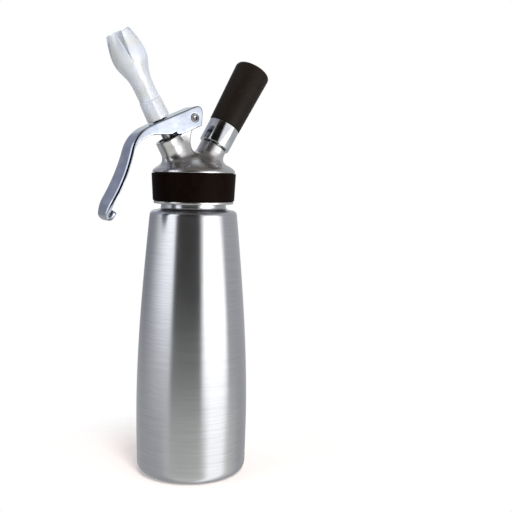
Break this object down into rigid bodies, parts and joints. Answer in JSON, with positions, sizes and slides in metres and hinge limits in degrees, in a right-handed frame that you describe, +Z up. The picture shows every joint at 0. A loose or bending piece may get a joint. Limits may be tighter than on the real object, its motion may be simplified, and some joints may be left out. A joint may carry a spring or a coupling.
{
  "type": "whipped cream dispenser",
  "caption": "Tall stainless cream bottle with a screw-on head, squeeze lever, tulip nozzle and gas charger holder.",
  "frame": {"origin": "centre of the bottle's base on the surface it stands on", "axes": "+Z up along the bottle's axis; the lever, nozzle and charger holder lie in the XZ plane, the lever and nozzle towards -X and the holder towards +X"},
  "size_m": [0.1495, 0.094, 0.3669],
  "materials": {
    "bottle_steel": "brushed round the bottle, satin",
    "head_steel": "cast and hand polished",
    "lever_chrome": "cast and chrome plated",
    "holder_chrome": "turned and chrome plated",
    "pin_steel": "turned and polished",
    "bush_steel": "turned",
    "stem_steel": "turned and polished",
    "spring_steel": "drawn wire, bright",
    "bulb_steel": "zinc plated, satin",
    "brass": "turned",
    "band_silicone": "moulded, matte",
    "grip_silicone": "moulded, matte",
    "seal_rubber": "moulded",
    "gasket_silicone": "moulded, satin",
    "nozzle_plastic": "moulded, translucent, satin"
  },
  "bodies": {
    "bottle": {"bottle": "bottle_steel"},
    "gasket": {"head_gasket": "gasket_silicone"},
    "head": {"head_casting": "head_steel", "grip_band": "band_silicone", "lever_pin": "pin_steel", "lever_pin_screw": "pin_steel", "valve_bush": "bush_steel", "bush_gasket": "seal_rubber", "charger_seal": "seal_rubber", "pin_carrier": "brass", "piercing_pin": "spring_steel", "carrier_gasket": "seal_rubber"},
    "lever": {"lever": "lever_chrome"},
    "stem": {"valve_stem": "stem_steel", "stem_o_ring": "seal_rubber", "valve_seal": "seal_rubber", "stem_nut": "brass", "valve_spring": "spring_steel"},
    "washer": {"nozzle_washer": "gasket_silicone"},
    "nozzle": {"nozzle_insert": "stem_steel", "decorator_nozzle": "nozzle_plastic"},
    "charger": {"charger_bulb": "bulb_steel"},
    "holder": {"holder_tube": "holder_chrome", "holder_grip": "grip_silicone"},
    "check": {"check_poppet": "gasket_silicone", "check_spring": "spring_steel"}
  },
  "joints": [
    {"name": "head_lift", "type": "slide", "parent": "bottle", "child": "gasket", "axis": [0, 0, 1], "range_m": [0, 0.06]},
    {"name": "head_turn", "type": "hinge", "parent": "gasket", "child": "head", "pos_m": [0, 0, 0.25], "axis": [0, 0, 1], "range_deg": [0, 540]},
    {"name": "lever_squeeze", "type": "hinge", "parent": "head", "child": "lever", "pos_m": [-0.0046, 0, 0.2987], "axis": [0, -1, 0], "range_deg": [0, 6.2], "stiffness_Nm_per_rad": 3.3, "springref_deg": -8.88},
    {"name": "valve_open", "type": "slide", "parent": "head", "child": "stem", "axis": [0.4772, 0, -0.8788], "range_m": [0, 0.0028], "deforming": ["valve_spring"]},
    {"name": "nozzle_lift", "type": "slide", "parent": "stem", "child": "washer", "axis": [-0.4772, 0, 0.8788], "range_m": [0, 0.03]},
    {"name": "nozzle_turn", "type": "hinge", "parent": "washer", "child": "nozzle", "pos_m": [-0.032, 0, 0.2961], "axis": [-0.4772, 0, 0.8788], "range_deg": [0, 1080]},
    {"name": "charger_lift", "type": "slide", "parent": "head", "child": "charger", "axis": [0.5, 0, 0.866], "range_m": [0, 0.04]},
    {"name": "holder_turn", "type": "hinge", "parent": "charger", "child": "holder", "pos_m": [0.0187, 0, 0.2769], "axis": [0.5, 0, 0.866], "range_deg": [0, 1440]},
    {"name": "check_open", "type": "slide", "parent": "head", "child": "check", "axis": [-0.5, 0, -0.866], "range_m": [0, 0.001], "stiffness_N_per_m": 200, "springref_m": -0.004, "deforming": ["check_spring"]}
  ],
  "couplings": [
    {"joint": "valve_open", "follows": "lever_squeeze", "m_per_rad": 0.025384}
  ]
}
